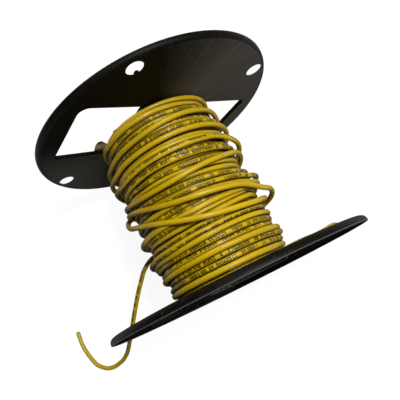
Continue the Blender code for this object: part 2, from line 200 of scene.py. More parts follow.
# Print, in mm on the wire; and numbers that start its rows of random values
PRINT_PITCH = 1.45         # along the wire, from mark to mark
PRINT_HEIGHT = 2.2
PRINT_STROKE = 0.50
PRINT_SIDES = (0.10, 1.25)           # left and right of a digit within its pitch
PRINT_BLOCK = 7.0          # marks, with one gap between groups
DIGIT_SEED, GAP_SEED, GAP_WIDTH_SEED = 3.0, 17.5, 23.5

# Digits without each stroke: top, middle, bottom, left and right above, left and right below
STROKE_MISSING = ((1, 4), (0, 1, 7), (1, 4, 7), (1, 2, 3, 7), (5, 6), (1, 3, 4, 5, 7, 9), (2,))


def print_mask(mat):
    """Worn digits, in groups of different lengths along the wire."""
    uv = mat.node("ShaderNodeUVMap", uv_map="wire").outputs[0]
    along, around, _ = mat.split(uv)
    around = mat.minus(0.5, mat.math("FRACT", around))
    across = mat.times(around, pi * WIRE_DIAMETER / MM)
    count = mat.math("DIVIDE", mat.times(along, 1 / MM), PRINT_PITCH)
    cell = mat.math("FLOOR", count)
    x = mat.times(mat.math("FRACT", count), PRINT_PITCH)
    half = PRINT_HEIGHT / 2
    left, right = PRINT_SIDES
    stroke = PRINT_STROKE
    strokes = (
        (left, right, half - stroke, half), (left, right, -stroke / 2, stroke / 2),
        (left, right, -half, -half + stroke),
        (left, left + stroke, 0.0, half), (right - stroke, right, 0.0, half),
        (left, left + stroke, -half, 0.0), (right - stroke, right, -half, 0.0),
    )
    digit = mat.math("FLOOR", mat.times(mat.random(cell, DIGIT_SEED), 10.0))
    total = 0.0
    for (low_x, high_x, low_y, high_y), missing in zip(strokes, STROKE_MISSING):
        mark = mat.times(mat.between(x, low_x, high_x), mat.between(across, low_y, high_y))
        for without in missing:
            mark = mat.minus(mark, mat.math("COMPARE", digit, float(without), 0.5))
        total = mat.math("MAXIMUM", total, mark)
    block = mat.math("FLOOR", mat.math("DIVIDE", cell, PRINT_BLOCK))
    within = mat.minus(cell, mat.times(block, PRINT_BLOCK))
    blank = mat.math("FLOOR", mat.times(mat.random(block, GAP_SEED), PRINT_BLOCK - 1))
    width = mat.span(mat.random(block, GAP_WIDTH_SEED), 0.4, 0.6, 0.5, 1.5)
    gap = mat.between(mat.minus(within, blank), -0.5, width)
    wear = mat.span(mat.noise(mat.place(), 1100.0, 2.0), 0.16, 0.30)
    return mat.times(mat.times(total, mat.minus(1.0, gap)), wear)


# Painted shade on the wire, this far out from the far flange
FAR_SHADE_REACH = 30.0 * MM           # from the far flange
CREVICE = 3.0 * MM


def jacket_material():
    """Yellow jacket with its print, with painted shade in the crevices between turns and towards
    the far flange.
    """
    mat = material_nodes("wire_jacket")
    where = mat.place()
    patches = mat.noise(where, 60.0, 3.0)
    yellow = mat.ramp(patches, (0.3, (0.48, 0.315, 0.002)), (0.7, (0.60, 0.405, 0.003)))
    smudge = mat.span(mat.noise(where, 210.0, 4.0, 0.6), 0.56, 0.80, 0.0, 0.5)
    colour = mat.mix(smudge, yellow, (0.36, 0.24, 0.01))
    # Painted shade: the wire darkens towards the far flange.
    beside = mat.span(mat.split(where)[0], -HALF_WIDTH, FAR_SHADE_REACH - HALF_WIDTH, 0.45, 0.0)
    colour = mat.mix(beside, colour, (0.30, 0.20, 0.008))
    # Painted shade: the colour darkens where ambient occlusion finds crevices between the turns.
    open_sky = mat.node("ShaderNodeAmbientOcclusion", {"Distance": CREVICE}, samples=8)
    crevice_shade = mat.span(open_sky.outputs["AO"], 0.25, 0.90, 0.95, 0.0)
    colour = mat.mix(crevice_shade, colour, (0.045, 0.026, 0.002))
    colour = mat.mix(mat.times(print_mask(mat), 0.97), colour, (0.010, 0.008, 0.004))
    rough = mat.span(mat.noise(where, 300.0, 3.0), 0.3, 0.7, 0.26, 0.42)
    normal = mat.bump(mat.noise(where, 900.0, 3.0), 0.03 * MM, 0.5)
    return mat.set(Base_Color=colour, Roughness=rough, Normal=normal, IOR=1.38)


# The part left of the top has neither dust nor the painted sheen.
DUST_AND_SHEEN_FREE_TURN = radians(20.0)   # the cleaner part, left of the top
RIM_START, RIM_FULL = 79.0 * MM, 82.6 * MM
FACE_MARGIN = 0.15 * MM
# Painted highlight along the rim's free edge: where it starts and where it is full
EDGE_HIGHLIGHT_START, EDGE_HIGHLIGHT_FULL = 3.5 * MM, 4.0 * MM      # out from the flange, at the rim's free edge


def enamel_material():
    """Thin black enamel on pressed steel: brownish dust that is partly a painted sheen, with
    streaks out from the hub, and a painted highlight on the rim's free edge.
    """
    mat = material_nodes("flange_black")
    where = mat.place()
    x, y, z = mat.split(where)
    high = mat.minus(z, AXIS.z)
    radius = mat.length(y, high)
    angle = mat.math("ARCTAN2", y, high)
    polar = mat.vector(mat.times(angle, 20.0), mat.times(radius, 14.0), x)
    streaks = mat.noise(polar, 2.2, 4.0, 0.6)
    clouds = mat.noise(where, 26.0, 3.0)
    tone = mat.plus(mat.times(streaks, 0.65), mat.times(clouds, 0.35))
    paint = mat.ramp(tone, (0.35, (0.0024, 0.0018, 0.0007)), (0.65, (0.0062, 0.0048, 0.0024)))
    # Painted sheen: this dust colour also stands in for the enamel's reflection of bright
    # surroundings, on the inner faces away from the upper left.
    dust_and_sheen = mat.ramp(tone, (0.35, (0.105, 0.0985, 0.0850)), (0.65, (0.155, 0.1450, 0.1250)))
    away = mat.math("ABSOLUTE", mat.plus(angle, DUST_AND_SHEEN_FREE_TURN))
    dust_and_sheen_share = mat.span(mat.plus(away, mat.times(streaks, 0.25)), 0.75, 1.45)
    rim = mat.span(radius, RIM_START, RIM_FULL)
    out = mat.math("ABSOLUTE", x)
    inner_side = mat.math("LESS_THAN", out, HALF_WIDTH + FACE_MARGIN)
    on_face = mat.times(mat.times(dust_and_sheen_share, inner_side), mat.minus(1.0, rim))
    colour = mat.mix(on_face, paint, dust_and_sheen)
    scuffs = mat.span(mat.noise(where, 520.0, 5.0, 0.7), 0.62, 0.72)
    worn = mat.times(scuffs, mat.plus(mat.times(rim, 0.3), 0.08))
    colour = mat.mix(worn, colour, (0.10, 0.095, 0.088))
    # Painted highlight: a lighter line along the lip's free edge.
    edge_highlight = mat.span(out, HALF_WIDTH + EDGE_HIGHLIGHT_START, HALF_WIDTH + EDGE_HIGHLIGHT_FULL, 0.0, 0.75)
    colour = mat.mix(edge_highlight, colour, (0.150, 0.145, 0.135))
    no_dust_or_sheen = mat.minus(1.0, mat.math("MAXIMUM", dust_and_sheen_share, rim))
    rough = mat.plus(mat.span(tone, 0.3, 0.7, 0.26, 0.40), mat.times(rim, 0.16))
    rough = mat.plus(rough, mat.times(no_dust_or_sheen, 0.22))
    peel = mat.bump(mat.noise(where, 700.0, 2.0), 0.04 * MM, 0.35)
    return mat.set(Base_Color=colour, Roughness=rough, Normal=peel, IOR=1.19)


def steel_material():
    """Dark oxide on the arbor tube, rubbed bright in spots."""
    mat = material_nodes("arbor_steel")
    where = mat.place()
    x, y, z = mat.split(where)
    lines = mat.noise(mat.vector(mat.times(x, 0.05), y, z), 900.0, 3.0)
    oxide = mat.ramp(lines, (0.3, (0.030, 0.028, 0.025)), (0.7, (0.075, 0.071, 0.065)))
    rubbed = mat.span(mat.noise(where, 330.0, 4.0, 0.6), 0.58, 0.68, 0.0, 0.85)
    colour = mat.mix(rubbed, oxide, (0.50, 0.49, 0.46))
    rough = mat.span(mat.noise(where, 240.0, 4.0), 0.3, 0.7, 0.24, 0.44)
    normal = mat.bump(lines, 0.02 * MM, 0.4)
    return mat.set(Base_Color=colour, Roughness=rough, Metallic=1.0, Normal=normal)


def kraft_material():
    """Brown fibre board."""
    mat = material_nodes("core_kraft")
    where = mat.place()
    fibres = mat.noise(where, 420.0, 5.0, 0.7)
    clouds = mat.noise(where, 70.0, 3.0)
    tone = mat.plus(mat.times(fibres, 0.6), mat.times(clouds, 0.4))
    colour = mat.ramp(tone, (0.30, (0.34, 0.23, 0.105)), (0.50, (0.48, 0.35, 0.175)),
                      (0.72, (0.62, 0.48, 0.27)))
    normal = mat.bump(fibres, 0.12 * MM, 0.6)
    return mat.set(Base_Color=colour, Roughness=0.88, Normal=normal)


def copper_material():
    mat = material_nodes("conductor_copper")
    tone = mat.noise(mat.place(), 1500.0, 3.0)
    colour = mat.ramp(tone, (0.3, (0.32, 0.13, 0.06)), (0.7, (0.62, 0.28, 0.14)))
    rough = mat.span(tone, 0.2, 0.8, 0.25, 0.5)
    return mat.set(Base_Color=colour, Roughness=rough, Metallic=1.0)


# ---- mesh helpers

def add_object(name, data):
    item = bpy.data.objects.new(name, data)
    bpy.context.scene.collection.objects.link(item)
    return item


def add_mesh(name, bm, material, smooth_angle=35.0):
    mesh = bpy.data.meshes.new(name)
    bm.to_mesh(mesh)
    bm.free()
    item = add_object(name, mesh)
    mesh.materials.append(material)
    mesh.shade_smooth()
    mesh.set_sharp_from_angle(angle=radians(smooth_angle))
    return item


def arc(centre_x, centre_y, radius, start, end, steps):
    return [
        (centre_x + radius * cos(start + (end - start) * step / steps),
         centre_y + radius * sin(start + (end - start) * step / steps))
        for step in range(steps + 1)
    ]


def turn_points(points, turn):
    c, s = cos(turn), sin(turn)
    return [(x * c - y * s, x * s + y * c) for x, y in points]


def on_axis(x, facing):
    """Frame on the spool's axis with local Z along +X (facing 1) or -X (facing -1)."""
    columns = (Vector((0, facing, 0)), Vector((0, 0, 1)), Vector((facing, 0, 0)))
    return Matrix.Translation(AXIS + Vector((x, 0, 0))) @ Matrix(columns).transposed().to_4x4()


def spool_point(place, radius, angle):
    return AXIS + Vector((place - HALF_WIDTH, radius * sin(angle), radius * cos(angle)))


def bridge_rings(bm, rings):
    for one, other in zip(rings, rings[1:]):
        for index in range(len(one)):
            following = (index + 1) % len(one)
            bm.faces.new((one[index], one[following], other[following], other[index]))


def circle(radius, segments):
    return [(radius * cos(2 * pi * index / segments),
             radius * sin(2 * pi * index / segments)) for index in range(segments)]


def turned(name, profile, material):
    """Closed ring round the spool's axis, from (radius, height) pairs."""
    matrix = on_axis(0.0, 1)
    bm = bmesh.new()
    rings = [[bm.verts.new(matrix @ Vector((*point, height)))
              for point in circle(radius, HUB_SEGMENTS)] for radius, height in profile]
    bridge_rings(bm, rings + rings[:1])
    bmesh.ops.recalc_face_normals(bm, faces=bm.faces)
    return add_mesh(name, bm, material)


# ---- flanges

RIM_SEGMENTS = 288
BORE_SEGMENTS = 96
HOLE_SIDES = 40


def window_outline(turn, margin):
    """Rounded rectangle grown by a margin; the same number of points for every margin."""
    low = WINDOW_INNER - margin
    high = WINDOW_OUTER + margin
    half = WINDOW_HALF_WIDTH + margin
    big = WINDOW_BIG_CORNER + margin
    small = WINDOW_CORNER + margin
    quarter = pi / 2
    corners = (
        arc(high - small, -half + small, small, -quarter, 0.0, 8)
        + arc(high - big, half - big, big, 0.0, quarter, 12)
        + arc(low + small, half - small, small, quarter, 2 * quarter, 8)
        + arc(low + small, -half + small, small, 2 * quarter, 3 * quarter, 8)
    )
    tapered = [
        (x, y - WINDOW_TAPER * max(0.0, y) / half * (high - x) / (high - low)) for x, y in corners
    ]
    return turn_points(tapered, turn)


def hole_outline(turn, margin, with_tab):
    """Round hole grown by a margin; one has a tab left in it, towards the spool's axis."""
    radius = HOLE_RADIUS + margin
    reach = HOLE_TAB_ROOT / HOLE_RADIUS if with_tab else 0.0
    ring = [(HOLE_CIRCLE + radius * x, radius * y)
            for x, y in arc(0.0, 0.0, 1.0, 0.0, 2 * pi * (1 - 1 / HOLE_SIDES), HOLE_SIDES - 1)
            if x > 0 or abs(y) >= reach]
    tab = []
    if with_tab:
        half = HOLE_TAB_WIDTH / 2 - margin
        tip = HOLE_CIRCLE - HOLE_RADIUS + HOLE_TAB_LENGTH - margin
        root = HOLE_CIRCLE - sqrt(radius ** 2 - half ** 2)
        tab = [(root, half), *arc(tip - half, 0.0, half, pi / 2, -pi / 2, 8), (root, -half)]
    upper = [point for point in ring if point[1] >= 0]
    return turn_points(upper + tab + ring[len(upper):], turn)


def inside(point, outline):
    x, y = point
    found = False
    for (ax, ay), (bx, by) in zip(outline, outline[1:] + outline[:1]):
        if (ay > y) != (by > y) and x < (bx - ax) * (y - ay) / (by - ay) + ax:
            found = not found
    return found


def bend_profile(reach, bend):
    """(margin, height) pairs: over the bend, up the wall, round its free edge and back."""
    inner = bend - SHEET
    outer = arc(bend, bend, bend, -pi / 2, -pi, 7)
    tip = arc(SHEET / 2, reach - SHEET / 2, SHEET / 2, pi, 0.0, 6)
    back = arc(bend, bend, inner, -pi, -pi / 2, 5)
    return outer + tip + back


# Side of a punched hole, with its two edges broken
PUNCHED = [(HOLE_EDGE, 0.0), (HOLE_EDGE * 0.3, HOLE_EDGE * 0.3), (0.0, HOLE_EDGE),
           (0.0, SHEET - HOLE_EDGE), (HOLE_EDGE * 0.3, SHEET - HOLE_EDGE * 0.3),
           (HOLE_EDGE, SHEET)]


def make_flange(name, x, facing, material):
    """One sheet, whose rim and windows are bent, as a single closed mesh."""
    rim = bend_profile(LIP_HEIGHT, RIM_BEND)
    window = bend_profile(WINDOW_WALL, WINDOW_BEND)
    loops = [[(circle(FLANGE_RADIUS - margin, RIM_SEGMENTS), height) for margin, height in rim]]
    for half_turn in (0.0, pi):
        turn = WINDOW_TURN + half_turn
        loops.append([(window_outline(turn, margin), height) for margin, height in window])
        for side in (1, -1):
            with_tab = half_turn == 0.0 and side == 1
            loops.append([(hole_outline(turn + side * HOLE_TURN, margin, with_tab), height)
                          for margin, height in PUNCHED])
    bore = ARBOR_BORE_RADIUS + ARBOR_WALL + FIT_GAP
    loops.append([(circle(bore + margin, BORE_SEGMENTS), height) for margin, height in PUNCHED])
    holes = [loop[0][0] for loop in loops[1:]]
    flat, edges, spans = [], [], []
    for loop in loops:
        first, count = len(flat), len(loop[0][0])
        edges += [(first + index, first + (index + 1) % count) for index in range(count)]
        spans.append(slice(first, first + count))
        flat += [Vector(point) for point in loop[0][0]]
    points, _, triangles = delaunay_2d_cdt(flat, edges, [], 0, 1e-9)[:3]

    matrix = on_axis(x, facing)
    bm = bmesh.new()
    sheets = []
    for height in (0.0, SHEET):
        verts = [bm.verts.new(matrix @ Vector((*point, height))) for point in points]
        for triangle in triangles:
            middle = sum((points[index] for index in triangle), Vector((0.0, 0.0))) / 3
            if not any(inside(middle, hole) for hole in holes):
                bm.faces.new([verts[index] for index in triangle])
        sheets.append(verts)
    for loop, span in zip(loops, spans):
        rings = [[bm.verts.new(matrix @ Vector((*point, height))) for point in outline]
                 for outline, height in loop[1:-1]]
        bridge_rings(bm, [sheets[0][span], *rings, sheets[1][span]])
    loose = [vert for vert in bm.verts if not vert.link_faces]
    bmesh.ops.delete(bm, geom=loose, context="VERTS")
    bmesh.ops.recalc_face_normals(bm, faces=bm.faces)
    flange = add_mesh(name, bm, material, 50.0)
    weighted = flange.modifiers.new("even_normals", "WEIGHTED_NORMAL")
    weighted.keep_sharp = True
    weighted.weight = 90
    return flange


# ---- hub

def make_arbor(material):
    seat = HALF_WIDTH + SHEET + FIT_GAP
    end = seat + ARBOR_WALL
    inner = ARBOR_BORE_RADIUS
    outer = inner + ARBOR_WALL
    edge = ARBOR_FLARE_RADIUS
    half = ARBOR_WALL / 2
    bend = 1.2 * MM
    upper = (
        arc(inner + bend, end - bend, bend, pi, pi / 2, 6)
        + arc(edge - half, seat + half, half, pi / 2, -pi / 2, 6)
        + [(outer, seat)]
    )
    lower = [(radius, -height) for radius, height in reversed(upper)]
    return turned("arbor_bush", upper + lower, material)


def make_core(material):
    end = HALF_WIDTH - FIT_GAP
    inner = CORE_RADIUS - CORE_WALL
    soft = 0.25 * MM
    profile = [(inner, -end + soft), (inner, end - soft), (inner + soft, end),
               (CORE_RADIUS - soft, end), (CORE_RADIUS, end - soft), (CORE_RADIUS, -end + soft),
               (CORE_RADIUS - soft, -end), (inner + soft, -end)]
    return turned("fibre_core", profile, material)


# Torn flap of the core, out through a window of the far flange and folded over its edge
FLAP_THICKNESS = 0.8 * MM
FLAP_TURN = radians(143.0)
FLAP_OUTLINE = (                 # mm along Y and up, from the root, of the folded part
    (1.0, 1.5), (0.2, -0.8), (-1.0, -2.7), (-1.3, -6.2), (-2.0, -9.7), (-4.0, -14.0),
    (-6.5, -17.7), (-10.0, -18.3), (-13.5, -18.2), (-17.6, -15.6), (-21.5, -12.7),
    (-19.8, -9.4), (-17.5, -6.7), (-15.6, -5.0), (-14.0, -3.9), (-12.9, -4.5), (-12.3, -5.5),
    (-12.2, -7.6), (-11.8, -9.9), (-9.9, -14.2), (-7.0, -10.5), (-4.4, -5.0), (-2.6, 0.6),
)
FLAP_GRID = 0.9 * MM
FLAP_STAND_OFF = 0.5             # mm, like the crease's height and half width
CREASE_HEIGHT, CREASE_REACH = 1.1, 6.0


def make_flap(material):
    fold_out = -HALF_WIDTH - WINDOW_WALL - FIT_GAP
    middle = CORE_RADIUS - CORE_WALL / 2 + FLAP_THICKNESS
    root = Vector((middle * cos(FLAP_TURN), middle * sin(FLAP_TURN)))
    outline = [root + Vector(point) * MM for point in FLAP_OUTLINE]
    count = len(outline)
    low = [min(point[axis] for point in outline) for axis in (0, 1)]
    high = [max(point[axis] for point in outline) for axis in (0, 1)]
    points = list(outline)
    for row in range(int((high[1] - low[1]) / FLAP_GRID) + 1):
        for column in range(int((high[0] - low[0]) / FLAP_GRID) + 1):
            spot = (low[0] + (column + 0.5 * (row % 2)) * FLAP_GRID, low[1] + row * FLAP_GRID)
            if inside(spot, [tuple(point) for point in outline]):
                points.append(Vector(spot))
    edges = [(index, (index + 1) % count) for index in range(count)]
    points, _, triangles = delaunay_2d_cdt(points, edges, [], 1, 1e-6)[:3]
    bm = bmesh.new()
    verts = [bm.verts.new(AXIS + Vector((fold_out - flap_relief(*(point - root)), *point)))
             for point in points]
    for triangle in triangles:
        bm.faces.new([verts[index] for index in triangle])
    bmesh.ops.recalc_face_normals(bm, faces=bm.faces)
    return add_mesh("torn_flap", bm, material)


def flap_relief(y, up):
    """How far the folded part stands off, with a crease across it."""
    y, up = y / MM, up / MM
    crease = abs(up + 9.0 + 0.55 * (y + 12.0)) / CREASE_REACH
    ripple = 0.25 * sin(y * 0.9 + up * 0.4) + 0.15 * sin(up * 1.7 - y * 0.6)
    return (FLAP_STAND_OFF + CREASE_HEIGHT * max(0.0, 1.0 - crease) + ripple * 0.4) * MM


# ---- wire

STATIONS = 72                              # points to a turn
STEP = 2 * pi / STATIONS
LAYER_START = radians(200.0)          # where the layer meets the slack turn
LAYER_TURNS = 31.75
LAYER_NEAR = INSIDE_WIDTH - 6.4 * MM
LAYER_FAR = 3.6 * MM
LAYER_END_RADIUS = 35.2 * MM
FIRST_TOP = 32                             # station of a turn's top
LEAVE_TURN = radians(178.4)
LEAVE_PLACE = 69.0 * MM
LEAVE_RADIUS = 39.21 * MM

# Turns of the wound layer, from the near flange. Each: 1 if it rides on its neighbours; where
# its print lies at the left and at the right (degrees from the wire's seen middle, 180 where it
# is turned away); and its line as (degrees from the top, mm from the far flange), both as they
# are seen on a cylinder of SEEN_RADIUS.
SEEN_RADIUS = 39.0 * MM
EVEN_STEPS = (-60, -40, -20, 0, 20, 40, 60)


def even(*places):
    """A line with a point every 20 degrees."""
    return tuple(zip(EVEN_STEPS, places))


WOUND = (
    (0, 180, 180, even(107.4, 107.4, 107.6, 107.9, 107.8, 108.0, 108.2)),
    (0, 0, 0, ((-60, 103.9), (-20, 104.0), (0, 104.4), (20, 104.2), (40, 104.2), (60, 104.7))),
    (0, -5, 0, ((-60, 100.5), (0, 100.5), (40, 100.5), (60, 101.0))),
    (1, 180, 180, ((-60, 97.3), (0, 97.4), (40, 97.7), (60, 98.2))),
    (0, -37, -37, ((-60, 94.3), (0, 94.6), (40, 94.6), (60, 95.0))),
    (0, -10, 0, even(90.0, 90.4, 90.8, 91.2, 91.0, 91.0, 91.8)),
    (0, 180, 180, even(87.2, 87.9, 88.0, 87.9, 87.6, 87.5, 87.8)),
    (0, 42, 42, even(84.2, 84.9, 84.9, 84.7, 84.2, 83.8, 83.6)),
    (0, 45, 20, ((-70, 79.2), (-60, 80.2), (-40, 81.2), (-20, 81.5), (0, 81.5), (20, 81.2),
        (40, 80.9), (60, 80.0))),
    (0, 180, 180, ((-60, 76.2), (-40, 76.8), (-20, 77.6), (0, 78.0), (10, 77.8), (20, 77.4),
        (30, 76.8), (40, 76.1), (60, 75.1))),
    (0, 0, 150, ((-60, 73.2), (-40, 74.0), (-20, 74.6), (0, 74.8), (10, 74.6), (20, 74.2),
        (30, 73.6), (40, 72.9), (60, 71.6))),
    (1, 180, 180, even(70.6, 71.4, 72.3, 72.2, 71.6, 70.9, 70.0)),
    (0, 0, 0, ((-60, 69.0), (-40, 69.6), (-20, 70.2), (0, 69.8), (20, 69.4), (60, 68.6))),
    (0, 0, 0, ((-60, 66.0), (-40, 66.6), (-20, 66.9), (0, 67.0), (40, 66.4), (60, 66.0))),
    (1, 180, 180, even(62.6, 63.4, 63.9, 64.4, 65.6, 66.9, 67.8)),
    (1, 5, 10, ((-60, 59.4), (-40, 59.8), (-20, 60.6), (0, 61.3), (10, 61.7), (20, 62.0),
        (30, 62.4), (40, 62.8), (60, 63.3))),
    (0, 180, 180, ((-60, 56.2), (-40, 57.4), (-30, 58.1), (-20, 58.9), (0, 59.8), (20, 60.6),
        (40, 61.2), (60, 61.6))),
    (1, 0, 0, ((-60, 53.0), (-45, 54.0), (-30, 54.9), (-20, 55.6), (-10, 56.3), (0, 57.0),
        (10, 57.5), (20, 58.0), (30, 58.6), (40, 59.3), (60, 60.4))),
    (0, 180, 180, ((-60, 49.6), (-40, 51.2), (0, 53.2), (10, 53.7), (20, 54.3), (30, 54.8),
        (40, 55.2), (60, 56.0))),
    (0, 180, 180, even(46.0, 47.6, 48.3, 49.3, 50.4, 51.6, 52.5)),
    (0, 0, 0, ((-60, 42.6), (-50, 43.0), (-35, 44.0), (-20, 44.9), (0, 46.2), (10, 46.8),
        (20, 47.3), (40, 48.0), (60, 48.4))),
    (1, -45, 0, ((-60, 38.6), (-40, 39.4), (-20, 40.0), (0, 41.1), (20, 42.3), (40, 43.3),
        (50, 44.0), (60, 44.6))),
    (0, -30, -35, even(36.0, 36.6, 37.4, 38.2, 39.3, 40.4, 41.3)),
    (1, 180, 180, ((-60, 31.6), (-40, 31.9), (0, 32.6), (20, 33.2), (40, 34.5), (60, 36.0))),
    (0, 180, 180, ((-60, 29.6), (-40, 30.0), (0, 30.2), (20, 30.6), (30, 31.1), (40, 31.9),
        (60, 33.5))),
    (0, 180, 180, ((-60, 25.8), (0, 26.2), (40, 27.0), (60, 28.0))),
    (1, -10, 0, ((-60, 22.0), (-30, 22.4), (0, 22.8), (20, 23.0), (40, 23.7), (60, 24.4))),
    (0, -50, -50, ((-60, 19.8), (-40, 19.4), (-20, 19.4), (0, 19.8), (10, 19.7), (20, 19.8),
        (30, 20.3), (40, 20.9), (50, 21.7), (60, 22.2))),
    (0, 25, 25, ((-60, 16.5), (-40, 15.2), (-20, 14.7), (0, 14.8), (10, 15.2), (20, 15.8),
        (40, 16.8), (60, 17.8))),
    (0, -10, 0, ((-60, 13.2), (-40, 11.9), (-20, 11.3), (0, 11.7), (20, 12.5), (30, 12.9),
        (60, 14.4))),
    (0, 180, 180, ((-60, 9.9), (-40, 8.7), (0, 8.5), (20, 9.2), (30, 9.6), (60, 11.1))),
    (0, 180, 180, even(6.6, 5.5, 5.2, 5.2, 5.6, 6.5, 7.8)),
)
PARALLAX_ROUNDS = 3
SHIFT_ROUNDS = 3            # in each of them
CONTACT = 3.12 * MM         # between the middles of two turns that touch: the jacket gives
SEEN_LIMIT = 65             # degrees from the top: beyond, a turn shifts over to the next
PRINT_LIMIT = 60            # degrees from the top, where the print's places are given
TURNED_AWAY = 170           # print turned further than this isn't leaned towards the camera
START_STATIONS = 10         # over which the wire's two ends come to their radii
END_STATIONS = 8
UNDER_LESS = 0.9 * MM       # the layer's radius underneath

# Loose turns: print, as above; line, as seen over the top and as it is beyond LOOSE_LIMIT;
# and the least radius of the wire's centre in mm, where the turn stands off the pack
LOOSE_LIMIT = 75
CROSSINGS = (
    (180, 180,
     ((-125, 20.0), (-110, 19.5), (-100, 18.5), (-90, 17.2), (-80, 15.9), (-70, 15.6),
      (-60, 16.9), (-40, 17.9), (-20, 17.9), (0, 17.2), (10, 16.5), (20, 15.9), (30, 15.6),
      (40, 15.5), (60, 15.4), (70, 14.7), (80, 14.6), (95, 15.8), (115, 18.0)),
     ((-130, 39.5), (-110, 45.0), (-100, 45.4), (-90, 43.6), (-80, 41.4), (-65, 39.6),
      (-50, 38.2), (60, 36.8), (75, 37.6), (95, 38.4), (115, 38.2), (135, 37.2))),
    (180, 180,
     ((-130, 24.5), (-115, 26.0), (-100, 26.4), (-90, 25.2), (-80, 23.6), (-70, 23.0),
      (-60, 24.0), (-50, 24.8), (-40, 25.4), (-20, 25.9), (0, 26.0), (20, 26.0), (40, 26.1),
      (60, 26.0), (70, 25.6), (80, 26.0), (95, 27.4), (115, 29.5)),
     ((-130, 40.5), (-115, 45.6), (-100, 46.4), (-90, 44.8), (-80, 43.2), (-65, 40.8),
      (-50, 38.8), (60, 38.2), (75, 39.4), (95, 39.8), (115, 38.6))),
    (-50, -50,
     ((-115, 34.0), (-100, 33.4), (-90, 32.2), (-80, 31.0), (-70, 31.6), (-60, 32.4),
      (-40, 33.4), (-20, 34.0), (0, 34.5), (20, 34.8), (40, 34.9), (50, 34.5), (60, 33.8),
      (66, 33.5), (72, 34.0), (80, 36.5), (90, 39.2), (100, 41.0), (115, 43.5)),
     ((-130, 38.5), (-115, 42.0), (-100, 43.6), (-90, 43.2), (-80, 42.2), (-60, 40.0),
      (40, 38.2), (55, 38.8), (65, 39.8), (72, 41.4), (80, 42.6), (90, 43.0), (100, 42.4),
      (115, 40.2))),
    (180, 180,
     ((-100, 44.5), (-80, 43.8), (-70, 45.4), (-60, 47.1), (-50, 48.5), (-40, 49.9), (-30, 50.8),
      (-20, 51.4), (-10, 51.8), (0, 51.5), (10, 50.9), (20, 50.1), (30, 49.5), (40, 48.9),
      (50, 48.0), (60, 47.1), (70, 45.4), (78, 44.2), (86, 44.8), (95, 45.8), (105, 47.0),
      (120, 49.0)),
     ((-115, 39.0), (-100, 42.0), (-90, 42.4), (-80, 41.6), (-60, 39.4), (50, 37.6), (70, 38.4),
      (80, 39.4), (90, 40.6), (100, 41.0), (115, 38.8))),
    (180, 180,
     ((-100, 48.0), (-80, 48.8), (-70, 50.3), (-60, 52.3), (-50, 54.8), (-40, 57.6), (-30, 60.2),
      (-20, 62.4), (-10, 64.1), (0, 65.3), (10, 66.1), (20, 66.9), (30, 67.5), (40, 68.0),
      (50, 68.4), (60, 68.0), (66, 67.7), (72, 68.6), (80, 73.0), (88, 75.9), (100, 77.3),
      (110, 77.7), (125, 79.0)),
     ((-115, 40.6), (-100, 43.2), (-90, 42.8), (-80, 42.0), (-60, 40.0), (50, 38.6), (60, 39.8),
      (66, 42.6), (72, 45.2), (80, 46.4), (88, 46.8), (100, 47.6), (110, 44.0), (118, 40.0),
      (128, 37.0))),
    (180, 180,
     ((-125, 42.5), (-110, 44.0), (-100, 48.0), (-90, 53.2), (-80, 58.2), (-70, 60.6),
      (-60, 62.6), (-50, 64.8), (-40, 67.2), (-30, 70.2), (-20, 73.4), (-10, 76.1), (0, 78.1),
      (10, 79.5), (20, 80.3), (30, 80.8), (45, 81.0), (60, 80.5), (70, 79.2), (80, 77.8),
      (95, 77.0), (120, 75.5), (150, 72.0)),
     ((-140, 40.5), (-125, 46.0), (-110, 48.4), (-100, 47.6), (-90, 45.6), (-80, 44.2),
      (-70, 42.2), (-60, 40.2), (-50, 39.0), (40, 38.0))),
)

# Wire centre radius of the layer, right and left, in mm
SWELL_PLACES = (0, 5, 12, 17, 20, 26, 32, 38, 42, 47, 54, 57, 62, 66, 71, 75, 80, 86, 89, 92,
                95, 98, 101, 105, 108, 113.6)
SWELL_RIGHT = (33.8, 33.0, 33.6, 34.1, 34.5, 34.3, 35.2, 35.2, 34.6, 35.0, 33.6, 33.6, 34.8,
               34.0, 34.8, 34.9, 35.3, 36.2, 36.2, 35.4, 33.8, 35.2, 37.2, 35.6, 35.8, 35.0)
SWELL_LEFT = (33.4, 34.2, 35.0, 35.8, 36.4, 38.2, 38.6, 37.6, 37.2, 38.2, 36.4, 35.6, 38.6,
              35.6, 36.0, 37.8, 36.6, 37.6, 37.4, 39.4, 37.6, 36.0, 35.4, 36.4, 37.8, 37.2)

# Where a turn of the layer bulges: turn, degrees from the top, half width, mm
BULGES = (
    (31, -45, 45, 2.2), (30, -45, 45, 1.8), (29, -45, 45, 1.2), (15, 88, 40, 2.6),
    (11, 178, 35, -2.2), (17, -165, 30, 1.0), (2, 86, 30, 1.6), (6, 84, 30, 0.8),
    (10, -82, 30, 0.8), (8, -82, 25, 1.2), (5, -85, 30, 1.4),
)


def swell(places, angles):
    """Radius of the layer's wire centres at places along the core and angles round it."""
    where = np.array(SWELL_PLACES) * MM
    right = np.interp(places, where, np.array(SWELL_RIGHT) * MM)
    left = np.interp(places, where, np.array(SWELL_LEFT) * MM)
    under = UNDER_LESS * np.clip(-np.cos(angles), 0, 1)
    return (right + left) / 2 + (right - left) / 2 * np.sin(angles) - under


def smooth(values, width):
    """Gaussian smoothing that keeps the two ends."""
    reach = int(3 * width) + 1
    weights = np.exp(-0.5 * (np.arange(-reach, reach + 1) / width) ** 2)
    padded = np.concatenate([
        2 * values[0] - values[reach:0:-1], values, 2 * values[-1] - values[-2:-reach - 2:-1],
    ])
    return np.convolve(padded, weights / weights.sum(), mode="valid")


def widest(values, reach):
    """The largest of each value and its neighbours."""
    return np.max([np.roll(values, shift) for shift in range(-reach, reach + 1)], axis=0)


